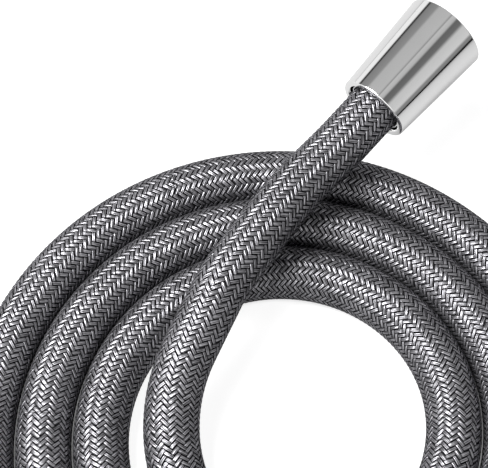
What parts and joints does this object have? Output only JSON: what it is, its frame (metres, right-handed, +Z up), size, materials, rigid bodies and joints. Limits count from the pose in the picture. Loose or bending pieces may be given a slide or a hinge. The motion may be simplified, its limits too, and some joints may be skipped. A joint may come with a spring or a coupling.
{
  "type": "shower hose",
  "caption": "Braided shower hose lying in a flat coil, with a swivelling conical union nut on one end and a hexagonal union nut on the other.",
  "frame": {"origin": "on the floor, under the middle of the bounding box of the two end fittings", "axes": "+X the way the hexagonal nut opens, and, 6.5 degrees lower, the conical nut; +Z up from the floor that the coil lies on"},
  "size_m": [0.2013, 0.1845, 0.0413],
  "materials": {
    "braid": "silver-grey filament yarn, regular herringbone braid, half-lustrous",
    "liner": "plain extruded inner hose",
    "chrome": "bright chrome plate, smooth",
    "nylon": "natural nylon",
    "brass": "turned brass",
    "steel": "thin stainless steel",
    "rubber": "black sealing rubber"
  },
  "bodies": {
    "hose": {"hose_lead_braid": "braid", "hose_coil_braid": "braid", "hose_tail_braid": "braid", "hose_lead_liner": "liner", "hose_coil_liner": "liner", "hose_tail_liner": "liner", "cone_barbed_stem": "brass", "cone_ferrule": "steel", "cone_rear_o_ring": "rubber", "cone_front_o_ring": "rubber", "cone_snap_ring": "steel", "hex_barbed_stem": "brass", "hex_ferrule": "steel", "hex_seal_washer": "rubber"},
    "cone_swivel": {"cone_swivel_collar": "brass", "cone_seal_washer": "rubber"},
    "cone_slip": {"cone_slip_ring": "nylon"},
    "cone_nut": {"cone_nut": "chrome"},
    "hex_slip": {"hex_slip_ring": "nylon"},
    "hex_nut": {"hex_nut": "chrome"}
  },
  "joints": [
    {"name": "cone_swivel_spin", "type": "hinge", "parent": "hose", "child": "cone_swivel", "pos_m": [-0.00833, 0.06362, 0.0259], "axis": [0.9936, 0, 0.1132], "continuous": true},
    {"name": "cone_nut_slide", "type": "slide", "parent": "hose", "child": "cone_slip", "axis": [0.9936, 0, 0.1132], "range_m": [-0.011, 0]},
    {"name": "cone_nut_spin", "type": "hinge", "parent": "cone_slip", "child": "cone_nut", "pos_m": [-0.00833, 0.06362, 0.0259], "axis": [0.9936, 0, 0.1132], "continuous": true},
    {"name": "hex_nut_slide", "type": "slide", "parent": "hose", "child": "hex_slip", "axis": [1, 0, 0], "range_m": [-0.011, 0]},
    {"name": "hex_nut_spin", "type": "hinge", "parent": "hex_slip", "child": "hex_nut", "pos_m": [-0.01563, -0.06216, 0.012], "axis": [1, 0, 0], "continuous": true}
  ]
}
